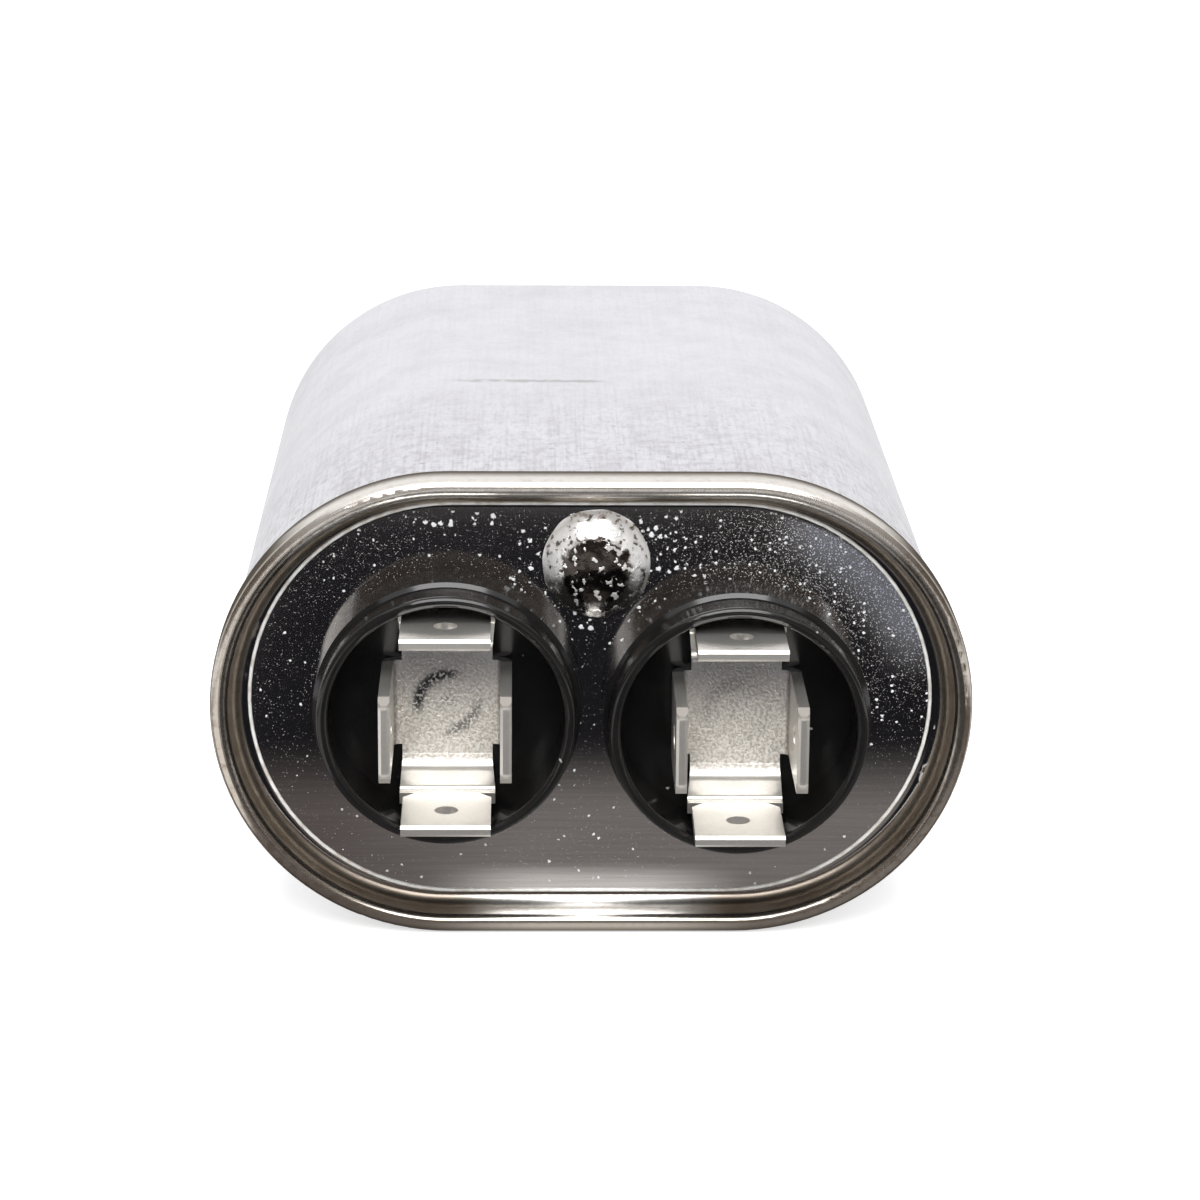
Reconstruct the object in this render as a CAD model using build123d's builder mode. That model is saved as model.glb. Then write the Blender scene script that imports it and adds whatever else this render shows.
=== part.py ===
# Oval motor run capacitor, lying on its flat side with its terminals facing -Y.
# Millimetres, +Z up. The origin is on the ground below the middle of the whole part.
import os

from build123d import *

# Driving dimensions of the oval can and its double seam
oval_width = 54.9
oval_height = 34.1
can_length = 74.5
can_sheet = 0.26
bottom_bend = 3.0
lid_sheet = 0.22
seam_length = 3.2
seam_play = 0.02
hook_play = 0.15
fold_share = 0.45

# Driving dimensions of the lid panel and its sealed fill hole
countersink = 2.4
chuck_lean = 0.35
countersink_bend = 1.05
fill_diameter = 2.4
fill_shift = 0.3
solder_radius = 3.85
solder_edge_gap = 0.34
solder_crown_radius = 2.7
solder_crown_height = 1.7
solder_shoulder_height = 0.8
solder_drip = 0.6
solder_drip_diameter = 1.2

# Driving dimensions of the insulator cups
cup_gap = 1.6
solder_cup_gap = 1.0
cup_skew = 0.38
cup_diameter = 19.2
cup_wall = 1.2
cup_height = 6.2
cup_floor = 0.6
cup_shoulder_height = 3.6
cup_shoulder = 0.28
cup_draft = 0.12
cup_rim_bend = 0.35
neck_diameter = 8.0
neck_play = 0.1

# Driving dimensions of the folded terminals
tab_width = 6.35
tab_sheet = 0.8
side_tab_reach = 9.2
arm_tab_reach = 8.6
tab_bend = 0.4
tip_chamfer = 0.85
side_tip_chamfer = 0.5
tip_bevel = 0.2
detent_diameter = 1.7
detent_setback = 3.5
side_tab_face = 3.85
arm_wall_gap = 0.371
arm_step = 0.7
arm_end_run = 2.25
step_inner_bend = 0.2
neck_width = 6.5
shoulder_width = 6.9
shoulder_length = 0.3

# Driving dimensions of the rivets, seals and straps behind the lid
stud_diameter = 3.2
stud_head_diameter = 5.0
stud_head_thickness = 0.7
stud_tail_diameter = 5.0
stud_tail_thickness = 0.8
bore_play = 0.05
gasket_diameter = 13.0
gasket_thickness = 1.0
washer_diameter = 12.0
washer_thickness = 1.0
lead_sheet = 0.3
lead_width = 4.5
lead_bend = 0.4
lead_eye = 3.4
lead_drop = 4.2
lead_foot = 5.0
lead_slack = 2.4

# Driving dimensions of the winding and its insulation
headspace = 9.0
liner_sheet = 0.5
liner_play = 0.15
liner_overlap = 3.0
winding_play = 0.05
core_width = 30.0
core_height = 1.2
pad_thickness = 3.0
pad_groove_play = 0.1

# The oval: two half circles joined by straights, with the can's axis at mid height
oval_radius = oval_height / 2
half_straight = oval_width / 2 - oval_radius
mid_height = oval_height / 2

# The seam's five layers, from the outside in: lid wall, body hook, cover hook, can wall, chuck wall
cover_hook_face = oval_radius - 2 * lid_sheet - can_sheet - 2 * seam_play
can_radius = cover_hook_face - seam_play
body_hook_face = oval_radius - lid_sheet - seam_play - can_sheet
chuck_radius = can_radius - can_sheet - seam_play - lid_sheet
panel_radius = chuck_radius - chuck_lean

# The solder stays inside the flat of the panel, and the cups clear each other and the solder
fill_rise = panel_radius - countersink_bend - solder_edge_gap - solder_radius
cup_solder_reach = cup_diameter / 2 + solder_cup_gap + solder_radius
cup_pitch = max(
    cup_diameter + cup_gap,
    2 * (fill_shift + (cup_solder_reach**2 - (fill_rise + cup_skew) ** 2) ** 0.5),
)

# The corners of a terminal's arms clear the wall of its cup
arm_corner_reach = cup_diameter / 2 - cup_wall - arm_wall_gap
arm_tab_face = (arm_corner_reach**2 - (shoulder_width / 2) ** 2) ** 0.5 - tab_sheet
arm_step_start = arm_tab_face - arm_end_run

# Distances in front of the lid panel
plate_back = cup_floor
side_tab_tip = plate_back + tab_sheet + side_tab_reach
arm_tab_tip = plate_back + tab_sheet + arm_tab_reach
tip_overhang = max(side_tab_tip, arm_tab_tip) - countersink
shoulder_front = plate_back + arm_step + tab_sheet + tab_bend + shoulder_length

# Places along the can, with the whole part centred on the origin
overall_length = tip_overhang + can_length
seam_front = tip_overhang - overall_length / 2
panel_front = seam_front + countersink
lid_middle = (0, panel_front, mid_height)

# Each hook turns by two folds, each a little under half the width that it encloses, and the rim's bends
# follow the body hook's folds
hook_bend = fold_share * (lid_sheet + 2 * seam_play)
rim_bend = hook_bend + can_sheet + seam_play + lid_sheet
curl_bend = fold_share * (can_sheet + 2 * seam_play + 2 * lid_sheet)
flange_front = lid_sheet + seam_play
flange_back = flange_front + can_sheet
cover_hook_tip = flange_back + hook_play
body_hook_tip = seam_length - curl_bend - hook_play

# The stack behind the lid panel, as distances in front of the panel
gasket_front = -lid_sheet
washer_front = gasket_front - gasket_thickness
lead_front = washer_front - washer_thickness
tail_front = lead_front - lead_sheet
winding_front = -headspace
winding_back = winding_front - (can_length - countersink - headspace - can_sheet - pad_thickness)

# Quarter section plane: x runs back from the seam's front, y runs outwards from the can's axis
quarter_plane = Plane(
    origin=(-half_straight, seam_front, mid_height), x_dir=(0, 1, 0), z_dir=(-1, 0, 0)
)
quarter_axis = Axis((-half_straight, 0, mid_height), (0, 1, 0))


def carry_round_oval(section):
    """Carry the quarter section along half a straight and round a quarter turn, then mirror it twice."""
    extrude(amount=-half_straight)
    revolve(section, axis=quarter_axis, revolution_arc=90)
    mirror(about=Plane.YZ)
    mirror(about=Plane.XY.offset(mid_height))


def cup_place(side):
    """The middle of a cup on the lid panel: side is -1 on the left and 1 on the right."""
    return (side * cup_pitch / 2, panel_front, mid_height - side * cup_skew)


def side_view(place):
    """The upright plane through a cup's axis: x runs forwards from the panel, y runs up."""
    return Plane(origin=place, x_dir=(0, -1, 0), z_dir=(-1, 0, 0))


def front_view(place, distance):
    """The plane across the can at a distance in front of the panel, facing the terminals' way."""
    return Plane(origin=(place[0], place[1] - distance, place[2]), x_dir=(1, 0, 0), z_dir=(0, -1, 0))


def top_view(place):
    """The level plane through a cup's axis: x runs to the right, y runs forwards from the panel."""
    return Plane(origin=place, x_dir=(1, 0, 0), z_dir=(0, 0, -1))


def front_axis(place):
    """The axis of a cup, pointing out of the lid."""
    return Axis(place, (0, -1, 0))


os.makedirs("parts", exist_ok=True)

# The can: one drawn sheet from the middle of its bottom to the body hook inside the seam
with BuildPart() as can:
    with BuildSketch(quarter_plane) as can_section:
        with BuildLine():
            FilletPolyline(
                (can_length, 0),
                (can_length, can_radius),
                (flange_back, can_radius),
                (flange_back, body_hook_face),
                (body_hook_tip, body_hook_face),
                radius=[bottom_bend, hook_bend, hook_bend],
            )
            offset(amount=can_sheet, side=Side.LEFT)
        make_face()
    carry_round_oval(can_section.sketch)
can.part.label = "can"
export_step(can.part, "parts/can.step")

# The lid: one pressed sheet from the middle of its panel, up the chuck wall, over the rim and into the curl
with BuildPart() as lid:
    with BuildSketch(quarter_plane) as lid_section:
        with BuildLine():
            FilletPolyline(
                (countersink, 0),
                (countersink, panel_radius),
                (0, chuck_radius),
                (0, oval_radius),
                (seam_length, oval_radius),
                (seam_length, cover_hook_face),
                (cover_hook_tip, cover_hook_face),
                radius=[countersink_bend, rim_bend, rim_bend, curl_bend, curl_bend],
            )
            offset(amount=lid_sheet, side=Side.RIGHT)
        make_face()
    carry_round_oval(lid_section.sketch)
    with BuildSketch(front_view(lid_middle, 0)):
        with Locations((-cup_pitch / 2, cup_skew), (cup_pitch / 2, -cup_skew)):
            Circle(neck_diameter / 2 + neck_play)
        with Locations((fill_shift, fill_rise)):
            Circle(fill_diameter / 2)
    extrude(amount=-lid_sheet, mode=Mode.SUBTRACT)
lid.part.label = "lid"
export_step(lid.part, "parts/lid.step")

# The solder seal: a crowned lump with a spread foot, run through the fill hole
fill_place = (fill_shift, panel_front, mid_height + fill_rise)
with BuildPart() as solder_seal:
    with BuildSketch(side_view(fill_place)):
        with BuildLine():
            crown = TangentArc(
                (solder_crown_height, 0),
                (solder_shoulder_height, solder_crown_radius),
                tangent=(0, 1),
            )
            RadiusArc(crown @ 1, (0, solder_radius), solder_radius)
            Polyline(
                (0, solder_radius),
                (0, fill_diameter / 2),
                (-lid_sheet, fill_diameter / 2),
                (-lid_sheet - solder_drip, solder_drip_diameter / 2),
                (-lid_sheet - solder_drip, 0),
                crown @ 0,
            )
        make_face()
    revolve(axis=front_axis(fill_place))
solder_seal.part.label = "solder_seal"
export_step(solder_seal.part, "parts/solder_seal.step")

for name, side in (("left", -1), ("right", 1)):
    place = cup_place(side)

    # The insulator cup: a moulded floor and shouldered collar, with a neck through the lid
    with BuildPart() as cup:
        with BuildSketch(side_view(place)):
            with BuildLine():
                FilletPolyline(
                    (cup_floor, stud_head_diameter / 2 + bore_play),
                    (cup_floor, cup_diameter / 2 - cup_wall),
                    (cup_height, cup_diameter / 2 - cup_wall),
                    (cup_height, cup_diameter / 2 - cup_shoulder - cup_draft),
                    (cup_shoulder_height + cup_shoulder, cup_diameter / 2 - cup_shoulder),
                    (cup_shoulder_height, cup_diameter / 2),
                    (0, cup_diameter / 2),
                    (0, neck_diameter / 2),
                    (washer_front, neck_diameter / 2),
                    (washer_front, stud_diameter / 2 + bore_play),
                    (cup_floor - stud_head_thickness, stud_diameter / 2 + bore_play),
                    (cup_floor - stud_head_thickness, stud_head_diameter / 2 + bore_play),
                    radius=[0, 0, cup_rim_bend, cup_rim_bend, 0, 0, 0, 0, 0, 0, 0, 0],
                    close=True,
                )
            make_face()
        revolve(axis=front_axis(place))
    cup.part.label = f"cup_{name}"
    export_step(cup.part, f"parts/cup_{name}.step")

    # The terminal: one stamped sheet, a weld plate with two blades folded up at its sides and two at the
    # ends of its stepped arms
    with BuildPart() as terminal:
        with BuildSketch(side_view(place)):
            with BuildLine():
                FilletPolyline(
                    (plate_back, 0),
                    (plate_back, arm_step_start),
                    (plate_back + arm_step, arm_step_start + arm_step),
                    (plate_back + arm_step, arm_tab_face + tab_sheet),
                    (shoulder_front, arm_tab_face + tab_sheet),
                    radius=[step_inner_bend + tab_sheet, step_inner_bend, tab_bend + tab_sheet],
                )
                offset(amount=tab_sheet, side=Side.RIGHT)
            make_face()
            mirror(about=Plane.XZ)
        extrude(amount=shoulder_width / 2, both=True)
        with BuildSketch(front_view(place, arm_tab_tip)):
            with BuildLine():
                Polyline(
                    (neck_width / 2, 0),
                    (neck_width / 2, arm_step_start),
                    (shoulder_width / 2, arm_tab_face),
                    (shoulder_width / 2, 0),
                    close=True,
                )
            make_face()
            mirror(about=Plane.YZ)
            mirror(about=Plane.XZ)
        extrude(amount=-arm_tab_tip, mode=Mode.SUBTRACT)
        with BuildSketch(top_view(place)):
            with BuildLine():
                FilletPolyline(
                    (0, plate_back),
                    (side_tab_face + tab_sheet, plate_back),
                    (side_tab_face + tab_sheet, side_tab_tip),
                    radius=tab_bend + tab_sheet,
                )
                offset(amount=tab_sheet, side=Side.LEFT)
            make_face()
            mirror(about=Plane.YZ)
        extrude(amount=tab_width / 2, both=True)
        chamfer(edges().filter_by(Axis.X).group_by(Axis.Y)[0], side_tip_chamfer)
        chamfer(edges().filter_by(Axis.Z).group_by(Axis.Y)[0], tip_bevel)
        for rise in (arm_tab_face, -arm_tab_face - tab_sheet):
            level = (place[0], place[1], place[2] + rise)
            with BuildSketch(top_view(level)):
                with Locations((0, arm_tab_tip)):
                    blade = Rectangle(
                        tab_width, arm_tab_tip - shoulder_front, align=(Align.CENTER, Align.MAX)
                    )
                chamfer(blade.vertices().group_by(Axis.Y)[0], tip_chamfer)
                with Locations((0, arm_tab_tip - detent_setback)):
                    Circle(detent_diameter / 2, mode=Mode.SUBTRACT)
            extrude(amount=-tab_sheet)
        arm_tips = edges().filter_by(Axis.X).filter_by_position(
            Axis.Y, panel_front - arm_tab_tip, panel_front - arm_tab_tip
        )
        chamfer(arm_tips, tip_bevel)
        for face in (side_tab_face, -side_tab_face - tab_sheet):
            inner = (place[0] - face, place[1], place[2])
            with BuildSketch(side_view(inner)):
                with Locations((side_tab_tip - detent_setback, 0)):
                    Circle(detent_diameter / 2)
            extrude(amount=tab_sheet, mode=Mode.SUBTRACT)
    terminal.part.label = f"terminal_{name}"
    export_step(terminal.part, f"parts/terminal_{name}.step")

    # The stud: a rivet whose head is welded under the plate and whose tail is headed over the strap
    with BuildPart() as stud:
        with BuildSketch(side_view(place)):
            with BuildLine():
                Polyline(
                    (cup_floor, 0),
                    (cup_floor, stud_head_diameter / 2),
                    (cup_floor - stud_head_thickness, stud_head_diameter / 2),
                    (cup_floor - stud_head_thickness, stud_diameter / 2),
                    (tail_front, stud_diameter / 2),
                    (tail_front, stud_tail_diameter / 2),
                    (tail_front - stud_tail_thickness, stud_diameter / 2),
                    (tail_front - stud_tail_thickness, 0),
                    close=True,
                )
            make_face()
        revolve(axis=front_axis(place))
    stud.part.label = f"stud_{name}"
    export_step(stud.part, f"parts/stud_{name}.step")

    # The gasket: a rubber ring round the neck, pressed against the back of the lid
    with BuildPart() as gasket:
        with BuildSketch(front_view(place, gasket_front)):
            Circle(gasket_diameter / 2)
            Circle(neck_diameter / 2 + neck_play, mode=Mode.SUBTRACT)
        extrude(amount=-gasket_thickness)
    gasket.part.label = f"gasket_{name}"
    export_step(gasket.part, f"parts/gasket_{name}.step")

    # The washer: a stiff insulating disc behind the gasket
    with BuildPart() as washer:
        with BuildSketch(front_view(place, washer_front)):
            Circle(washer_diameter / 2)
            Circle(stud_diameter / 2 + bore_play, mode=Mode.SUBTRACT)
        extrude(amount=-washer_thickness)
    washer.part.label = f"washer_{name}"
    export_step(washer.part, f"parts/washer_{name}.step")

# The left lead: from the left rivet to a foot on the front end of the winding
left_place = cup_place(-1)
with BuildPart() as lead_left:
    with BuildSketch(side_view(left_place)):
        with BuildLine():
            FilletPolyline(
                (lead_front, -lead_eye),
                (lead_front, lead_drop),
                (winding_front + lead_sheet, lead_drop),
                (winding_front + lead_sheet, lead_drop + lead_foot),
                radius=[lead_bend + lead_sheet, lead_bend],
            )
            offset(amount=lead_sheet, side=Side.LEFT)
        make_face()
    extrude(amount=lead_width / 2, both=True)
    with BuildSketch(front_view(left_place, lead_front)):
        Circle(stud_diameter / 2 + bore_play)
    extrude(amount=-lead_sheet, mode=Mode.SUBTRACT)
lead_left.part.label = "lead_left"
export_step(lead_left.part, "parts/lead_left.step")

# The right lead: from the right rivet through the winding's flat core to a foot on its rear end
right_place = cup_place(1)
core_rise = mid_height - right_place[2]
with BuildPart() as lead_right:
    with BuildSketch(side_view(right_place)):
        with BuildLine():
            FilletPolyline(
                (lead_front, -lead_eye),
                (lead_front, lead_drop),
                (lead_front - lead_slack, lead_drop),
                (winding_front, core_rise + lead_sheet / 2),
                (winding_back - lead_sheet, core_rise + lead_sheet / 2),
                (winding_back - lead_sheet, core_rise - lead_foot),
                radius=[
                    lead_bend + lead_sheet,
                    lead_bend + lead_sheet,
                    lead_bend,
                    lead_bend + lead_sheet,
                ],
            )
            offset(amount=lead_sheet, side=Side.LEFT)
        make_face()
    extrude(amount=lead_width / 2, both=True)
    with BuildSketch(front_view(right_place, lead_front)):
        Circle(stud_diameter / 2 + bore_play)
    extrude(amount=-lead_sheet, mode=Mode.SUBTRACT)
lead_right.part.label = "lead_right"
export_step(lead_right.part, "parts/lead_right.step")

# The winding: a flattened roll of film with its flat core left open
liner_radius = can_radius - can_sheet - liner_play
winding_radius = liner_radius - liner_sheet - winding_play
with BuildPart() as winding:
    with BuildSketch(front_view(lid_middle, winding_front)):
        SlotOverall(2 * (half_straight + winding_radius), 2 * winding_radius)
        SlotOverall(core_width, core_height, mode=Mode.SUBTRACT)
    extrude(amount=winding_back - winding_front)
winding.part.label = "winding"
export_step(winding.part, "parts/winding.step")

# The liner: an insulating sleeve that stands past the front of the winding
with BuildPart() as liner:
    with BuildSketch(front_view(lid_middle, winding_front + liner_overlap)):
        SlotOverall(2 * (half_straight + liner_radius), 2 * liner_radius)
        SlotOverall(
            2 * (half_straight + liner_radius - liner_sheet),
            2 * (liner_radius - liner_sheet),
            mode=Mode.SUBTRACT,
        )
    extrude(amount=winding_back - winding_front - liner_overlap)
liner.part.label = "liner"
export_step(liner.part, "parts/liner.step")

# The bottom pad: an insulating board on the flat of the can's bottom, grooved for the lead's foot
pad_radius = can_radius - bottom_bend
with BuildPart() as bottom_pad:
    with BuildSketch(front_view(lid_middle, winding_back)):
        SlotOverall(2 * (half_straight + pad_radius), 2 * pad_radius)
    extrude(amount=-pad_thickness)
    groove_top = core_rise + lead_sheet / 2 + pad_groove_play
    with BuildSketch(front_view(right_place, winding_back)):
        with Locations((0, groove_top)):
            Rectangle(
                lead_width + 2 * pad_groove_play,
                lead_foot + lead_sheet / 2 + 2 * pad_groove_play,
                align=(Align.CENTER, Align.MAX),
            )
    extrude(amount=-lead_sheet - pad_groove_play, mode=Mode.SUBTRACT)
bottom_pad.part.label = "bottom_pad"
export_step(bottom_pad.part, "parts/bottom_pad.step")
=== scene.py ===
import math

import bmesh
import bpy
from mathutils import Matrix, Vector, noise


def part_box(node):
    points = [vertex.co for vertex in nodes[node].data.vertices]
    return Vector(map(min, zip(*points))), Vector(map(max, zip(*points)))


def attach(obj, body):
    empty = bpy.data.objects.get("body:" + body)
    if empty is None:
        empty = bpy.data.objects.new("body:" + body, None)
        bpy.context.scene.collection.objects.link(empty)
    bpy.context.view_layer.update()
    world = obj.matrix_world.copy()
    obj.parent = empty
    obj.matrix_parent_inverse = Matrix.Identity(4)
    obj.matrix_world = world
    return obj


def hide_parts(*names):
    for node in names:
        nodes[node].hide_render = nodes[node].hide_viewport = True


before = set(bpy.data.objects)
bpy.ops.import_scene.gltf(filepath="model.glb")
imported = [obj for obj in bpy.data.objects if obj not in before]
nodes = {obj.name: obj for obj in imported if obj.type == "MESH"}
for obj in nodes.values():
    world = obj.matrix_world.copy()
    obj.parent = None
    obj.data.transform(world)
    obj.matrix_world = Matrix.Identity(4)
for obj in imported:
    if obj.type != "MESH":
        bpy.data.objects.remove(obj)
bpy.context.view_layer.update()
MM = 0.001


# The winding: a flattened roll of metallised film. Its ends are sprayed with zinc so that the straps can be
# soldered to them, and it is hidden once the can is closed.
class Wire:
    """One socket of a finish. Arithmetic on it adds Math nodes."""

    def __init__(self, finish, socket):
        self.finish = finish
        self.socket = socket

    def math(self, operation, *values):
        return self.finish.node("ShaderNodeMath", {"operation": operation}, dict(enumerate(values)))

    def __add__(self, other):
        return self.math("ADD", self, other)

    def __radd__(self, other):
        return self.math("ADD", other, self)

    def __sub__(self, other):
        return self.math("SUBTRACT", self, other)

    def __rsub__(self, other):
        return self.math("SUBTRACT", other, self)

    def __mul__(self, other):
        return self.math("MULTIPLY", self, other)

    def __rmul__(self, other):
        return self.math("MULTIPLY", other, self)

    def __pow__(self, other):
        return self.math("POWER", self, other)

    def __gt__(self, other):
        return self.math("GREATER_THAN", self, other)

    def __abs__(self):
        return self.math("ABSOLUTE", self)

    def or_larger(self, other):
        """The larger of this value and another."""
        return self.math("MAXIMUM", self, other)

    def hypot(self, other):
        """How far it is to a point that lies this value one way and another at right angles to it."""
        return (self * self + other * other) ** 0.5

    def rise(self, low, high):
        """0 below low, 1 above high and a smooth rise between them. With low above high it falls."""
        settings = {"interpolation_type": "SMOOTHSTEP"}
        inputs = {"Value": self, "From Min": low, "From Max": high}
        return self.finish.node("ShaderNodeMapRange", settings, inputs)


class Finish:
    """A material with one Principled shader, whose constant values are set on its own sockets."""

    def __init__(self, name, constants):
        self.material = bpy.data.materials.new(name)
        self.material.use_nodes = True
        self.tree = self.material.node_tree
        self.shader = self.tree.nodes["Principled BSDF"]
        for socket_name, value in constants.items():
            self.set(socket_name, value)
        self.point = self.node("ShaderNodeTexCoord", output="Object")

    def node(self, kind, settings=None, inputs=None, output=0):
        """Add a node, set it up, fill or link its sockets and give one of its outputs."""
        node = self.tree.nodes.new(kind)
        for word, value in (settings or {}).items():
            setattr(node, word, value)
        for key, value in (inputs or {}).items():
            self.feed(node.inputs[key], value)
        return Wire(self, node.outputs[output])

    def feed(self, socket, value):
        if isinstance(value, Wire):
            self.tree.links.new(value.socket, socket)
        else:
            socket.default_value = value

    def set(self, socket_name, value):
        """Fill or link a socket of the shader. A colour is made opaque."""
        if isinstance(value, tuple) and len(value) == 3:
            value = (*value, 1.0)
        self.feed(self.shader.inputs[socket_name], value)

    def mix(self, share, first, second):
        """A colour between two colours."""
        first, second = (v if isinstance(v, Wire) else (*v, 1.0) for v in (first, second))
        settings = {"data_type": "RGBA"}
        return self.node("ShaderNodeMix", settings, {"Factor": share, 6: first, 7: second}, output=2)

    def stretched(self, x=1.0, y=1.0, z=1.0):
        """The object's coordinates drawn out along some axes, so that a pattern on them runs in streaks."""
        return self.node("ShaderNodeMapping", None, {"Vector": self.point, "Scale": (x, y, z)})

    def noise(self, size, detail=3.0, point=None, roughness=0.5):
        """Soft noise from 0 to 1 whose patches are about size metres across."""
        inputs = {"Vector": point or self.point, "Scale": 1 / size, "Detail": detail, "Roughness": roughness}
        return self.node("ShaderNodeTexNoise", None, inputs)

    def specks(self, spacing, share, reach, shift=0.0):
        """Ragged specks: share of the cells, spacing apart, hold one of at most reach cells in radius."""
        place = {"Vector": self.point, "Location": (shift, shift, shift)}
        shifted = self.node("ShaderNodeMapping", None, place)
        inputs = {"Vector": shifted, "Scale": 1 / spacing}
        cells = self.node("ShaderNodeTexVoronoi", None, inputs, output="Color")
        distance = Wire(self, cells.socket.node.outputs["Distance"])
        chance = self.node("ShaderNodeSeparateColor", None, {0: cells}, output=0)
        size = Wire(self, chance.socket.node.outputs[1])
        limit = reach * (0.3 + 0.7 * size) + 0.5 * (self.noise(0.3 * spacing, detail=1.0) - 0.5)
        return (chance > 1.0 - share) * (distance - limit).rise(0.05, -0.05)

    def bump(self, height, depth):
        """Raise the surface by height, a value from 0 to 1, times depth in metres."""
        inputs = {"Height": height, "Distance": depth, "Strength": 1.0}
        self.set("Normal", self.node("ShaderNodeBump", None, inputs))

    def grained(self, grain, hollow_colour, ridge_colour, depth):
        """Let one grain, a value from 0 to 1, give the surface both its colour and its relief."""
        self.set("Base Color", self.mix(grain, hollow_colour, ridge_colour))
        self.bump(grain, depth)

    def on(self, *names):
        """Give this finish to CAD nodes."""
        for name in names:
            nodes[name].data.materials.clear()
            nodes[name].data.materials.append(self.material)


film_grey = (0.56, 0.56, 0.55)
film_bright = (0.7, 0.7, 0.68)
film = Finish("film_roll", {"Roughness": 0.5})
turn_lines = film.noise(0.25 * MM, point=film.stretched(y=0.01))
zinc_spray = film.noise(1.2 * MM).rise(0.3, 0.7)
film.set("Metallic", zinc_spray)
film.grained(turn_lines, film_grey, film_bright, depth=0.03 * MM)
film.on("winding")


# The liner and the bottom pad: a sleeve of polyester film and a board of pressed fibre, which keep the
# winding clear of the can. Both are loose pieces that the winding holds in place.
sleeve_cream = (0.78, 0.76, 0.7)
sleeve_pale = (0.84, 0.82, 0.77)
sleeve = Finish("liner_film", {"Roughness": 0.35})
sleeve_clouds = sleeve.noise(4 * MM)
sleeve_ripples = sleeve.noise(1.5 * MM)
sleeve.set("Base Color", sleeve.mix(sleeve_clouds, sleeve_cream, sleeve_pale))
sleeve.bump(sleeve_ripples, depth=0.02 * MM)
sleeve.on("liner")

board_brown = (0.5, 0.4, 0.27)
board_tan = (0.66, 0.56, 0.41)
board = Finish("pressboard", {"Roughness": 0.85})
fibres = board.noise(0.3 * MM, detail=6.0, point=board.stretched(x=0.2))
board.grained(fibres, board_brown, board_tan, depth=0.04 * MM)
board.on("bottom_pad")


# The straps: tinned copper strip with the lines of its rolling along it. One end of each is held by the
# terminal's rivet, and the other is soldered to an end of the winding.
strap_grey = (0.62, 0.6, 0.56)
strap_bright = (0.74, 0.73, 0.7)
strap = Finish("tinned_strap", {"Metallic": 1.0})
strap_lines = strap.noise(0.2 * MM, point=strap.stretched(z=0.05, y=0.05))
strap.set("Base Color", strap.mix(strap_lines, strap_grey, strap_bright))
strap.set("Roughness", 0.25 + 0.2 * strap_lines)
strap.on("lead_left", "lead_right")


# The rivets, washers and gaskets that hold each cup: steel rivets, stiff laminate washers and rubber rings,
# clamped together through the lid when the rivet's tail is headed over.
rivet_grey = (0.5, 0.5, 0.5)
rivet_bright = (0.66, 0.65, 0.63)
rivet = Finish("rivet_steel", {"Metallic": 1.0})
rivet_grain = rivet.noise(0.3 * MM, detail=5.0)
rivet.set("Base Color", rivet.mix(rivet_grain, rivet_grey, rivet_bright))
rivet.set("Roughness", 0.3 + 0.2 * rivet_grain)
rivet.on("stud_left", "stud_right")

laminate_brown = (0.5, 0.36, 0.2)
laminate_tan = (0.62, 0.48, 0.3)
laminate = Finish("washer_laminate", {"Roughness": 0.55})
laminate_grain = laminate.noise(0.6 * MM, detail=5.0)
laminate.grained(laminate_grain, laminate_brown, laminate_tan, depth=0.02 * MM)
laminate.on("washer_left", "washer_right")

rubber_black = (0.03, 0.03, 0.03)
rubber_bloom = (0.06, 0.06, 0.06)
rubber = Finish("gasket_rubber", {"Roughness": 0.75})
rubber_grain = rubber.noise(0.4 * MM, detail=5.0)
rubber.grained(rubber_grain, rubber_black, rubber_bloom, depth=0.02 * MM)
rubber.on("gasket_left", "gasket_right")


# The can: one sheet of aluminium drawn into a deep oval cup. The die leaves fine lines along its length, and
# handling has left cloudy marks, a crease across its top and scuffs near the seam. The crease is painted
# darker, as shade.
seam_low, seam_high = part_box("lid")
middle = (seam_low + seam_high) / 2
seam_front = seam_low.y
scuffed_from = 6 * MM
scuffed_to = 40 * MM
crease_setback = 34.5 * MM
crease_left = -9.9 * MM
crease_right = 1.2 * MM
crease_pivot = -4 * MM
crease_slope = 0.02
crease_waver = 1.2 * MM
can_pale = (0.81, 0.81, 0.845)
can_cloud = (0.735, 0.725, 0.765)
line_grey = (0.5, 0.48, 0.51)
scuff_grey = (0.5, 0.48, 0.5)
pit_grey = (0.4, 0.38, 0.38)
crease_shade_grey = (0.45, 0.43, 0.43)


def split(finish):
    """The three object coordinates as separate values."""
    parts = finish.node("ShaderNodeSeparateXYZ", None, {0: finish.point}).socket.node.outputs
    return tuple(Wire(finish, socket) for socket in parts)


drawn = Finish("drawn_can", {"Metallic": 1.0})
x, y, z = split(drawn)
near_seam = (y - seam_front).rise(scuffed_to, scuffed_from)
draw_lines = drawn.noise(0.3 * MM, detail=4.0, point=drawn.stretched(y=0.25))
long_lines = drawn.noise(0.25 * MM, detail=3.0, point=drawn.stretched(y=0.02))
weave = drawn.noise(0.3 * MM, detail=4.0, point=drawn.stretched(x=0.3))
threads = 0.4 * draw_lines.rise(0.45, 0.7) + 0.35 * long_lines.rise(0.4, 0.7)
threads = threads + 0.25 * weave.rise(0.45, 0.7)
clouds = drawn.noise(6 * MM, detail=6.0, roughness=0.65)
mottle = drawn.noise(1.3 * MM, detail=4.0)
pits = drawn.specks(1.2 * MM, share=0.5, reach=0.18)
crease_middle = seam_front + crease_setback - crease_slope * (x - crease_pivot)
from_crease = abs(y - crease_middle + crease_waver * (mottle - 0.5))
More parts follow.
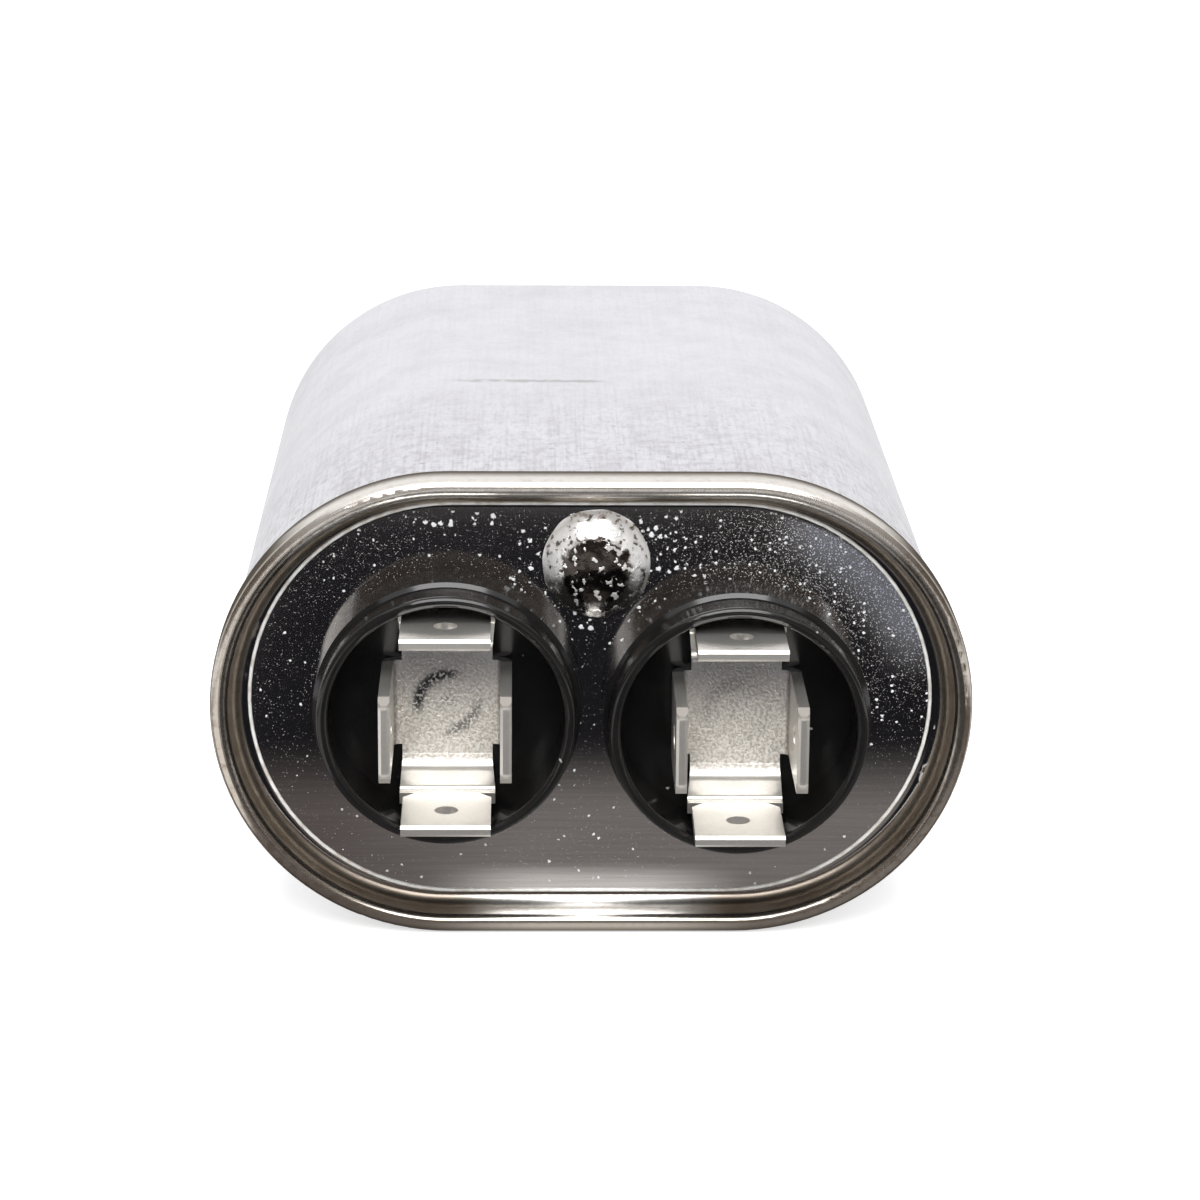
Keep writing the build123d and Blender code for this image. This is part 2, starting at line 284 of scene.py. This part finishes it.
crease_span = x.rise(crease_left - 2 * MM, crease_left + 2 * MM)
crease_span = crease_span * x.rise(crease_right + 1 * MM, crease_right - 1 * MM)
on_top = (z - middle.z).rise(0.0, 5 * MM)
crease = from_crease.rise(0.7 * MM, 0.1 * MM) * crease_span * on_top
metal = drawn.mix(clouds.rise(0.35, 0.7), can_pale, can_cloud)
metal = drawn.mix((0.25 + 0.65 * near_seam) * threads, metal, line_grey)
metal = drawn.mix(0.5 * near_seam * mottle.rise(0.45, 0.7), metal, scuff_grey)
metal = drawn.mix(0.6 * near_seam * pits, metal, pit_grey)
# Painted shade: the crease is darkened as if shade lay in its hollow.
metal = drawn.mix(0.75 * crease * mottle.rise(0.3, 0.5), metal, crease_shade_grey)
drawn.set("Base Color", metal)
drawn.set("Roughness", 0.38 + 0.12 * clouds + 0.1 * threads * near_seam)
drawn.bump(0.5 * threads - 0.6 * crease - 0.5 * pits * near_seam, depth=0.012 * MM)
drawn.on("can")


# The lid: one pressing of bright tinplate, rolled together with the can's edge into a double seam. The panel
# is still mirror bright under dust, flux crumbs and a bluish haze of dust that also paints a sheen. The
# seaming rolls have marked the wall and the rim. A highlight and shade are painted low on the wall, a
# highlight on the upper rim and shade on the lower rim, and a dark outline round the outside of the seam is
# painted shade.
oval_radius = (seam_high.z - seam_low.z) / 2
half_straight = (seam_high.x - seam_low.x) / 2 - oval_radius
panel_inset = 2.65 * MM
wall_inset = 2.15 * MM
rim_inset = 1.26 * MM
countersink = 2.4 * MM
panel_edge = oval_radius - panel_inset
wall_edge = oval_radius - wall_inset
rim_edge = oval_radius - rim_inset
panel_front = seam_front + countersink
fill_low, fill_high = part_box("solder_seal")
fill_middle = (fill_low + fill_high) / 2
crumb_row_rise = 3.4 * MM
panel_grey = (0.56, 0.54, 0.53)
panel_bright = (0.62, 0.6, 0.59)
wall_tin = (0.58, 0.51, 0.43)
wall_highlight = (0.95, 0.93, 0.9)
wall_shade = (0.25, 0.2, 0.16)
rim_tin = (0.68, 0.63, 0.57)
rim_highlight = (0.88, 0.85, 0.81)
rim_shade = (0.3, 0.25, 0.2)
mark_brown = (0.42, 0.36, 0.3)
outline_shade_brown = (0.1, 0.085, 0.07)
haze_sheen_blue = (0.42, 0.48, 0.66)
dust_white = (0.86, 0.87, 0.88)

tinplate = Finish("bright_tinplate", {"Specular IOR Level": 0.0})
x, y, z = split(tinplate)
aside = abs(x)
level = z - middle.z
past_straight = (aside - half_straight).or_larger(0.0)
from_axis = past_straight.hypot(level)
on_panel = from_axis.rise(panel_edge, panel_edge - 0.3 * MM)
on_wall = from_axis.rise(wall_edge - 0.1 * MM, wall_edge + 0.1 * MM)
on_rim = from_axis.rise(rim_edge - 0.1 * MM, rim_edge + 0.1 * MM)

from_fill = (x - fill_middle.x).hypot(z - fill_middle.z)
near_fill = from_fill.rise(9 * MM, 4 * MM)
upper = level.rise(-6 * MM, 6 * MM)
upper_right = x.rise(2 * MM, 16 * MM) * upper
upper_patches = tinplate.noise(7 * MM, detail=3.0).rise(0.35, 0.65) * upper
dusty = 0.3 + 0.5 * upper_right + 0.2 * upper_patches
fine_dust = tinplate.noise(0.12 * MM, detail=2.0).rise(0.72 - 0.15 * dusty, 0.8 - 0.15 * dusty)
coarse_share = 0.05 + 0.25 * upper_right + 0.1 * upper_patches
coarse_dust = tinplate.specks(0.36 * MM, coarse_share, reach=0.28, shift=0.3)
clumps = tinplate.noise(1.4 * MM, detail=2.0).rise(0.42, 0.62)
crumb_row = x.rise(-14 * MM, -13 * MM) * x.rise(-6 * MM, -7 * MM)
crumb_row = crumb_row * abs(z - fill_middle.z - crumb_row_rise).rise(0.7 * MM, 0.3 * MM)
crumb_share = 0.8 * near_fill * clumps + 0.7 * crumb_row
crumbs = tinplate.specks(0.62 * MM, crumb_share, reach=0.42, shift=0.7)
dust = on_panel * (0.3 * fine_dust).or_larger(coarse_dust).or_larger(crumbs)
# A bluish film of dust near the panel's upper right edge, which also paints a bluish sheen there.
haze_and_sheen = on_panel * x.rise(12 * MM, 17 * MM) * level.rise(1 * MM, 6 * MM)
haze_and_sheen = haze_and_sheen * from_axis.rise(panel_edge - 4.5 * MM, panel_edge - 0.8 * MM) * (0.35 + 0.65 * fine_dust)

roll_marks = tinplate.noise(0.6 * MM, detail=5.0)
brush_lines = tinplate.noise(0.25 * MM, detail=3.0, point=tinplate.stretched(x=0.03))
# Painted light and shade low on the wall: a highlight in the middle of its bottom and shade to either side of
# it.
low_down = level.rise(-12 * MM, -15 * MM)
painted_hot_spot = low_down * aside.rise(11 * MM, 6 * MM)
painted_side_shade = low_down * aside.rise(6 * MM, 11 * MM)
marked = on_wall * roll_marks.rise(0.45, 0.75) * level.rise(-18 * MM, -12 * MM)
# Painted shade on the lower rim and a painted highlight on the upper rim.
shaded_lower_rim = on_rim * level.rise(-11 * MM, -15 * MM)
lit_upper_rim = on_rim * level.rise(10 * MM, 14 * MM)
# Painted shade: a dark outline round the outside of the seam, all but the front of its top.
outside = from_axis.rise(oval_radius - 0.16 * MM, oval_radius - 0.02 * MM)
far_back = (y - seam_front).rise(0.8 * MM, 2.8 * MM)
below_top = level.rise(15 * MM, 11 * MM)
dark_outline = outside * far_back.or_larger(below_top)

wall = tinplate.mix(painted_hot_spot, wall_tin, wall_highlight)
wall = tinplate.mix(0.65 * painted_side_shade, wall, wall_shade)
tin = tinplate.mix(brush_lines.rise(0.35, 0.65), panel_grey, panel_bright)
tin = tinplate.mix(on_wall, tin, wall)
tin = tinplate.mix(on_rim, tin, rim_tin)
tin = tinplate.mix(0.8 * marked, tin, mark_brown)
tin = tinplate.mix(0.3 * shaded_lower_rim, tin, rim_shade)
tin = tinplate.mix(0.55 * lit_upper_rim, tin, rim_highlight)
tin = tinplate.mix(dark_outline, tin, outline_shade_brown)
tin = tinplate.mix(haze_and_sheen, tin, haze_sheen_blue)
tin = tinplate.mix(dust, tin, dust_white)
tinplate.set("Base Color", tin)
tinplate.set("Metallic", (1 - dust) * (1 - dark_outline) * (1 - 0.6 * haze_and_sheen - 0.15 * lit_upper_rim))
tin_roughness = 0.08 + 0.2 * on_wall - 0.08 * on_rim + 0.06 * on_wall * roll_marks
tinplate.set("Roughness", tin_roughness + 0.6 * dust + 0.5 * dark_outline + 0.2 * haze_and_sheen)
tinplate.bump(0.2 * roll_marks * on_rim + dust, depth=0.02 * MM)
tinplate.on("lid")


# The panel's bead: the thin raised edge that the press leaves round the flat panel. It is of one piece with
# the lid and of the same tinplate, and its near-white colour is a painted highlight that runs all round it.
bead_radius = 0.13 * MM
bead_sides = 12
bead_end_radius = 14.69 * MM
bead_half_straight = 9.95 * MM
bead_end_steps = 40
bead_shift = -0.08 * MM
bead_stand = 0.04 * MM
bead_lift = 0.14 * MM
bead_middle = Vector((bead_shift, panel_front - bead_stand, middle.z + bead_lift))
bead_highlight_white = (0.95, 0.95, 0.93)
bead_worn = (0.75, 0.71, 0.65)


def half_turn(form, ring, end_middle):
    """Carry a ring of edges round one end of the panel, and give the ring where it ends."""
    corners = list(dict.fromkeys(vert for edge in ring for vert in edge.verts))
    turned = bmesh.ops.spin(
        form, geom=corners + ring, cent=end_middle, axis=(0, 1, 0), angle=math.pi, steps=bead_end_steps
    )
    return [item for item in turned["geom_last"] if isinstance(item, bmesh.types.BMEdge)]


def smooth_piece(name, form, finish):
    """Make a finished bmesh a smoothly shaded object of the scene."""
    mesh = bpy.data.meshes.new(name)
    form.to_mesh(mesh)
    form.free()
    for face in mesh.polygons:
        face.use_smooth = True
    mesh.materials.append(finish.material)
    piece = bpy.data.objects.new(name, mesh)
    bpy.context.scene.collection.objects.link(piece)
    return piece


to_end = Vector((bead_half_straight, 0, 0))
start = Matrix.Translation(bead_middle + to_end + Vector((0, 0, bead_end_radius)))
across_bead = start @ Matrix.Rotation(math.radians(90), 4, "Y")
bead = bmesh.new()
bmesh.ops.create_circle(bead, radius=bead_radius, segments=bead_sides, matrix=across_bead)
first_ring = bead.edges[:]
right_ring = half_turn(bead, first_ring, bead_middle + to_end)
drawn_out = bmesh.ops.extrude_edge_only(bead, edges=right_ring)["geom"]
carried = [item for item in drawn_out if isinstance(item, bmesh.types.BMVert)]
bmesh.ops.translate(bead, vec=-2 * to_end, verts=carried)
left_ring = [edge for edge in bead.edges if all(vert in carried for vert in edge.verts)]
last_ring = half_turn(bead, left_ring, bead_middle - to_end)
bmesh.ops.bridge_loops(bead, edges=first_ring + last_ring)
bmesh.ops.recalc_face_normals(bead, faces=bead.faces[:])

# The pale, mostly unmetallic colour is a painted highlight along the bead.
bead_highlight_finish = Finish("bead_highlight_tin", {"Roughness": 0.35})
scuffs = bead_highlight_finish.noise(0.8 * MM, detail=4.0)
bead_highlight_finish.set("Base Color", bead_highlight_finish.mix(scuffs.rise(0.4, 0.7), bead_highlight_white, bead_worn))
bead_highlight_finish.set("Metallic", 0.4 * scuffs)
bead_piece = smooth_piece("panel_bead", bead, bead_highlight_finish)
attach(bead_piece, "root")


# The solder seal: a lump of solder melted over the fill hole once the can is full of oil. It set with a
# wrinkled skin. Its middle is near black, dark flux and a painted dark reflection, with a painted crescent of
# white highlight above it and painted glints. Its upper edge is smeared out towards the lid's wall and
# scorched.
lump_radius = fill_high.z - fill_middle.z
lump_front = fill_low.y
ripple_height = 0.11 * MM
wrinkle_height = 0.02 * MM
crown_height = panel_front - lump_front - ripple_height - wrinkle_height
raggedness = 0.03
smear = 0.08
sliver = 0.004
solder_bright = (0.8, 0.79, 0.78)
solder_dull = (0.5, 0.45, 0.41)
middle_black = (0.05, 0.035, 0.028)
crescent_white = (0.92, 0.91, 0.9)
glint_white = (0.93, 0.92, 0.9)
scorch_brown = (0.2, 0.09, 0.03)

lump = bmesh.new()
bmesh.ops.create_icosphere(lump, subdivisions=6, radius=1.0)
bmesh.ops.bisect_plane(
    lump, geom=lump.verts[:] + lump.edges[:] + lump.faces[:], plane_co=(0, 0, 0), plane_no=(0, 1, 0),
    clear_outer=True,
)
bmesh.ops.remove_doubles(lump, verts=lump.verts, dist=sliver)
bmesh.ops.holes_fill(lump, edges=[edge for edge in lump.edges if edge.is_boundary])
for vert in lump.verts:
    direction = vert.co.copy()
    out = math.hypot(direction.x, direction.z)
    lift = 1 - 0.4 * out**2 - 0.6 * out**4
    ripple = noise.noise(2.4 * direction + Vector((3.1, 0, 0)))
    wrinkle = noise.fractal(6.0 * direction, 0.7, 2.0, 3)
    relief = min(1.0, 3 * lift) * (ripple_height * ripple + wrinkle_height * wrinkle)
    unevenness = raggedness * noise.noise(3.0 * direction)
    reach = lump_radius * (1.0 + unevenness + smear * max(0.0, direction.z))
    vert.co.x = fill_middle.x + reach * direction.x
    vert.co.y = panel_front - crown_height * lift - relief
    vert.co.z = fill_middle.z + reach * direction.z
bmesh.ops.recalc_face_normals(lump, faces=lump.faces[:])

solder = Finish("solder_skin", {})
x, _, z = split(solder)
up = z - fill_middle.z
from_middle = (x - fill_middle.x).hypot(up)
crust = solder.noise(0.6 * MM, detail=6.0)
ragged = from_middle + 1.6 * MM * (crust - 0.5)
# Painted glints: white, partly unmetallic spots over the middle of the dome.
glints = solder.noise(0.75 * MM, detail=3.0).rise(0.58, 0.63)
glints = glints * from_middle.rise(0.95 * lump_radius, 0.75 * lump_radius)
scorch = up.rise(0.8 * lump_radius, 1.0 * lump_radius) * crust.rise(0.45, 0.65)
# The middle is painted near black: dark flux and a painted dark reflection.
dark_middle = ragged.rise(0.72 * lump_radius, 0.6 * lump_radius)
# A painted crescent of white highlight on the upper part of the dome.
painted_crescent = ragged.rise(0.6 * lump_radius, 0.72 * lump_radius) * up.rise(-0.35 * lump_radius, 0.1 * lump_radius)
painted_crescent = painted_crescent * solder.noise(0.4 * MM, detail=4.0).rise(0.34, 0.48)
skin = solder.mix(crust.rise(0.45, 0.75), solder_bright, solder_dull)
skin = solder.mix(0.92 * dark_middle, skin, middle_black)
skin = solder.mix(0.85 * painted_crescent, skin, crescent_white)
skin = solder.mix(glints, skin, glint_white)
skin = solder.mix(0.6 * scorch, skin, scorch_brown)
solder.set("Base Color", skin)
solder.set("Metallic", 1 - 0.55 * painted_crescent - 0.4 * glints * (1 - painted_crescent))
solder.set("Roughness", 0.1 + 0.15 * crust + 0.25 * painted_crescent)
solder.bump(0.5 * crust + 0.5 * glints, depth=0.08 * MM)
solder_piece = smooth_piece("solder_lump", lump, solder)
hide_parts("solder_seal")
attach(solder_piece, "root")


# The cups: black phenolic mouldings with a polished face, one round each terminal, that keep the live metal
# clear of the lid. Their floors and rims carry fine scuffs and a little dust.
cup_black = (0.006, 0.006, 0.006)
cup_smeared = (0.014, 0.013, 0.013)
grit_grey = (0.5, 0.5, 0.5)
moulding = Finish("black_moulding", {})
smears = moulding.noise(2.5 * MM, detail=5.0)
hairlines = moulding.noise(0.15 * MM, detail=3.0, point=moulding.stretched(x=0.1))
grit = moulding.specks(1.3 * MM, share=0.12, reach=0.09, shift=0.4)
black = moulding.mix(smears, cup_black, cup_smeared)
moulding.set("Base Color", moulding.mix(grit, black, grit_grey))
moulding.set("Roughness", 0.08 + 0.12 * smears + 0.3 * grit)
moulding.bump(0.1 * hairlines + grit, depth=0.004 * MM)
moulding.on("cup_left", "cup_right")


# The terminals: brass sheet, stamped, folded into four blades and a plate, then tin-plated. Each plate is
# resistance-welded to its rivet, which leaves a faint ring and soot, most of it on the left one. Above the
# weld the plate is painted darker and bluish, a heat tint and painted shade, and the tip corners of the side
# blades carry painted shade.
weld_ring = 2.05 * MM
soot_left = 1.0
soot_right = 0.25
plating_bright = (0.92, 0.905, 0.87)
plating_grain = (0.58, 0.54, 0.49)
plating_warm = (0.76, 0.71, 0.64)
corner_shade = (0.3, 0.275, 0.25)
tint_and_shade_grey = (0.3, 0.3, 0.34)
soot_black = (0.05, 0.05, 0.055)
for name, soot in (("left", soot_left), ("right", soot_right)):
    low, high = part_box(f"terminal_{name}")
    centre = (low + high) / 2
    plating = Finish(f"tin_plating_{name}", {})
    x, y, z = split(plating)
    across = x - centre.x
    up = z - centre.z
    from_weld = across.hypot(up)
    on_plate = (y - panel_front).rise(-2.0 * MM, -1.6 * MM)
    dapple = plating.noise(0.22 * MM, detail=4.0, roughness=0.6)
    broad = plating.noise(3 * MM, detail=3.0)
    ring = abs(from_weld - weld_ring).rise(0.75 * MM, 0.1 * MM)
    arc = ring * (up - across).rise(0.6 * MM, 2.2 * MM) + 0.6 * ring * (across - up).rise(1.6 * MM, 2.6 * MM)
    pit = from_weld.rise(0.7 * MM, 0.2 * MM) * dapple.rise(0.5, 0.7)
    stain = on_plate * (soot * arc * dapple.rise(0.36, 0.52) + 0.6 * pit)
    grain = dapple.rise(0.4, 0.62) * (0.12 + 0.88 * on_plate)
    # Painted shade on the top and bottom corners of the side blades' tips.
    side_tip = abs(across).rise(3.6 * MM, 3.9 * MM) * (y - low.y).rise(0.62 * MM, 0.55 * MM)
    shaded_corner = side_tip * abs(up).rise(2.3 * MM, 2.6 * MM)
    # Darker and bluish towards the top of the plate: a heat tint and painted shade.
    tinted_and_shaded_top = on_plate * up.rise(-1.0 * MM, 3.6 * MM)
    tin = plating.mix(grain, plating_bright, plating_grain)
    tin = plating.mix(0.3 * broad, tin, plating_warm)
    tin = plating.mix(shaded_corner, tin, corner_shade)
    tin = plating.mix(0.75 * tinted_and_shaded_top, tin, tint_and_shade_grey)
    tin = plating.mix(stain, tin, soot_black)
    plating.set("Base Color", tin)
    plating.set("Metallic", (0.9 - 0.03 * on_plate) * (1 - shaded_corner))
    plating.set("Roughness", 0.26 - 0.02 * on_plate + 0.16 * dapple + 0.2 * stain + 0.3 * shaded_corner)
    plating.bump((0.06 + 0.8 * on_plate) * dapple + 0.1 * on_plate * ring, depth=0.11 * MM)
    plating.on(f"terminal_{name}")


# The stage: a plain white table that runs out of view, and cards on the table and round the lid that glow
# with
# painted colours. Only reflections see the cards, which stand where they keep the bright metal from washing
# out:
# painted dark, grey, brown and white surroundings, and a painted shadow under the can.
table_reach = 2.5
table_drop = 0.1 * MM
table_glow_seen = 0.66
table_glow_mirrored = 0.2
white = (1.0, 1.0, 1.0)
unlit = (0.0, 0.0, 0.0)
table_white = (0.86, 0.86, 0.86)


def seen_by(finish):
    """Two values: 1 for what the camera sees, and 1 for what a mirror or glass sees."""
    rays = finish.node("ShaderNodeLightPath").socket.node.outputs
    words = ("Is Camera Ray", "Is Glossy Ray", "Is Transmission Ray")
    camera_ray, glossy_ray, glass_ray = (Wire(finish, rays[word]) for word in words)
    return camera_ray, glossy_ray + glass_ray


def level_card(name, finish, left, right, near, far, height):
    """A flat rectangle that lies level, wound so that it faces up."""
    card = bmesh.new()
    bmesh.ops.create_grid(card, x_segments=1, y_segments=1, size=0.5)
    bmesh.ops.scale(card, vec=(right - left, far - near, 1), verts=card.verts)
    bmesh.ops.translate(card, vec=((left + right) / 2, (near + far) / 2, height), verts=card.verts)
    piece = smooth_piece(name, card, finish)
    return piece


table = Finish("white_table", {"Roughness": 0.9, "Specular IOR Level": 0.0})
table.set("Base Color", table_white)
table.set("Emission Color", white)
by_camera, by_mirror = seen_by(table)
table.set("Emission Strength", table_glow_seen * by_camera + table_glow_mirrored * by_mirror)
level_card("white_table", table, -table_reach, table_reach, -table_reach, table_reach, -table_drop)

floor_half_width = 110 * MM
floor_near = -0.45
floor_far = 40 * MM
floor_drop = 0.05 * MM
grey_reach = 33 * MM
grey_fade = 10 * MM
floor_grey = (0.25, 0.235, 0.225)
floor_grey_left = (0.15, 0.13, 0.125)
floor_black = (0.014, 0.014, 0.017)
floor_pale = (0.9, 0.88, 0.86)
floor_glare = (0.85, 0.83, 0.8)
floor_brown = (0.12, 0.1, 0.085)
strip_white = (0.95, 0.92, 0.88)
beside_white = (0.95, 0.95, 0.95)
painted_shadow_brown = (0.05, 0.045, 0.04)
floor = Finish("reflection_card", {"Roughness": 1.0, "Specular IOR Level": 0.0})
x, y, _ = split(floor)
aside = abs(x)
before_lid = panel_front - y
behind_seam = y - seam_front
near_lid = before_lid.rise(grey_reach + grey_fade, grey_reach - grey_fade)
glare = before_lid.rise(13 * MM, 8 * MM) * aside.rise(13 * MM, 3 * MM)
left_strip = x.rise(-31 * MM, -34 * MM) * x.rise(-95 * MM, -75 * MM)
shade = floor.mix(x.rise(-4 * MM, -22 * MM), floor_grey, floor_grey_left)
shade = floor.mix(near_lid, floor_black, shade)
shade = floor.mix(before_lid.rise(122 * MM, 138 * MM), shade, floor_pale)
shade = floor.mix(glare, shade, floor_glare)
shade = floor.mix(aside.rise(34 * MM, 60 * MM), shade, floor_brown)
shade = floor.mix(left_strip, shade, strip_white)
beside = floor.mix(behind_seam.rise(8 * MM, 16 * MM), floor_brown, beside_white)
# Under the can the card glows dark brown: a painted shadow that reflections see.
under = floor.mix(aside.rise(24 * MM, 30 * MM), painted_shadow_brown, beside)
floor.set("Base Color", unlit)
floor.set("Emission Color", floor.mix(behind_seam.rise(-1 * MM, 1 * MM), shade, under))
floor.set("Emission Strength", 1.0)
floor_flag = level_card(
    "floor_flag", floor, -floor_half_width, floor_half_width, floor_near, floor_far, -floor_drop
)
cards = [floor_flag]

# Painted dark surroundings: cards that glow in two browns, seen only in reflections.
surround_dark = (0.06, 0.05, 0.042)
surround_brown = (0.17, 0.14, 0.115)
surround_glow = Finish("painted_brown_surround", {"Roughness": 1.0, "Specular IOR Level": 0.0})
surround_glow.set("Base Color", unlit)
surround_glow.set("Emission Color", surround_glow.mix(surround_glow.noise(0.1), surround_dark, surround_brown))
surround_glow.set("Emission Strength", 1.0)
for name, half_width, half_depth, place, angle, axis in (
    ("front_flag", 0.5, 0.35, (0, -0.55, 0.35), 90, "X"),
    ("left_flag", 0.3, 0.3, (-0.5, -0.25, 0.3), 90, "Y"),
    ("right_flag", 0.3, 0.3, (0.5, -0.25, 0.3), -90, "Y"),
):
    card = level_card(name, surround_glow, -half_width, half_width, -half_depth, half_depth, 0.0)
    card.data.transform(Matrix.Translation(place) @ Matrix.Rotation(math.radians(angle), 4, axis))
    cards.append(card)
for card in cards:
    card.visible_camera = False
    card.visible_diffuse = False
    card.visible_shadow = False
    card.visible_transmission = False


# The light: one large soft box above and before the lid, a broad one overhead and the white room itself. Both
# boxes are turned to the middle of the lid, and the camera doesn't see them.
lid_middle = Vector((0.0, seam_front, middle.z))
room_light = 0.4
room_seen = 1.0


def soft_box(name, place, width, height, watts):
    """A rectangle of even light that faces the lid."""
    lamp = bpy.data.lights.new(name, "AREA")
    lamp.shape = "RECTANGLE"
    lamp.size = width
    lamp.size_y = height
    lamp.energy = watts
    box = bpy.data.objects.new(name, lamp)
    box.location = place
    box.rotation_euler = (lid_middle - Vector(place)).to_track_quat("-Z", "Y").to_euler()
    box.visible_camera = False
    bpy.context.scene.collection.objects.link(box)


class Room(Finish):
    """The world's own tree, which has a Background in place of the Principled shader."""

    def __init__(self, tree):
        self.tree = tree
        self.shader = tree.nodes["Background"]


soft_box("front_box", (-0.01, -0.42, 0.33), width=0.3, height=0.2, watts=1.3)
soft_box("top_box", (0.0, -0.24, 0.53), width=0.4, height=0.27, watts=2.0)
world = bpy.data.worlds.new("white_room")
bpy.context.scene.world = world
world.use_nodes = True
room = Room(world.node_tree)
room.set("Color", white)
by_camera, by_mirror = seen_by(room)
room.set("Strength", room_light + (room_seen - room_light) * (by_camera + by_mirror))


# The camera: a long lens a little above the terminals, at the photograph's angle. Its place and turn are
# fitted to the outlines of the seam and of the can's far end.
camera_rise = math.radians(16.40)
camera_yaw = math.radians(1.20)
camera_roll = math.radians(0.41)
camera_distance = 272.4 * MM
aim_right = 0.52 * MM
aim_lift = 8.34 * MM
aim = Vector((aim_right, seam_front, middle.z + aim_lift))
forward = Vector((
    math.sin(camera_yaw) * math.cos(camera_rise),
    math.cos(camera_yaw) * math.cos(camera_rise),
    -math.sin(camera_rise),
))
level_right = forward.cross(Vector((0, 0, 1))).normalized()
level_up = level_right.cross(forward)
right = math.cos(camera_roll) * level_right + math.sin(camera_roll) * level_up
up = math.cos(camera_roll) * level_up - math.sin(camera_roll) * level_right
camera_data = bpy.data.cameras.new("camera")
camera_data.lens = 114.75
camera_data.sensor_width = 36.0
camera_data.clip_start = 0.01
camera = bpy.data.objects.new("camera", camera_data)
turn = Matrix((right, up, -forward)).transposed().to_4x4()
camera.matrix_world = Matrix.Translation(aim - camera_distance * forward) @ turn
bpy.context.scene.collection.objects.link(camera)
bpy.context.scene.camera = camera
bpy.context.scene.view_settings.view_transform = "Standard"
